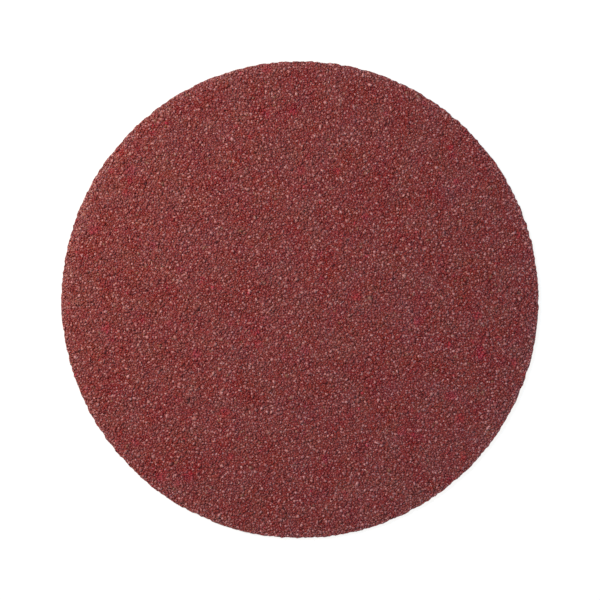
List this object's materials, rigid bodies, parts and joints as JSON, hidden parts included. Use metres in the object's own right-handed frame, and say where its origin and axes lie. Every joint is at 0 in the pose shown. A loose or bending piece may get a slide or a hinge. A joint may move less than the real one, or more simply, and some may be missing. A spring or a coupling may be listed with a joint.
{
  "type": "hook and loop sanding disc",
  "caption": "Round coarse-grit abrasive disc on paper, with a knitted loop backing that a sander's hooked pad grips.",
  "frame": {"origin": "centre of the loop side, on the surface that the disc lies on", "axes": "+Z along the disc's axis, out of the grit; +X along the ribs of the loop fabric"},
  "size_m": [0.125, 0.125, 0.002],
  "materials": {
    "grit": "matte",
    "paper": "matte",
    "loops": "matte"
  },
  "bodies": {
    "root": {"abrasive_coat": "grit", "backing_paper": "paper", "loop_backing": "loops"}
  },
  "joints": []
}
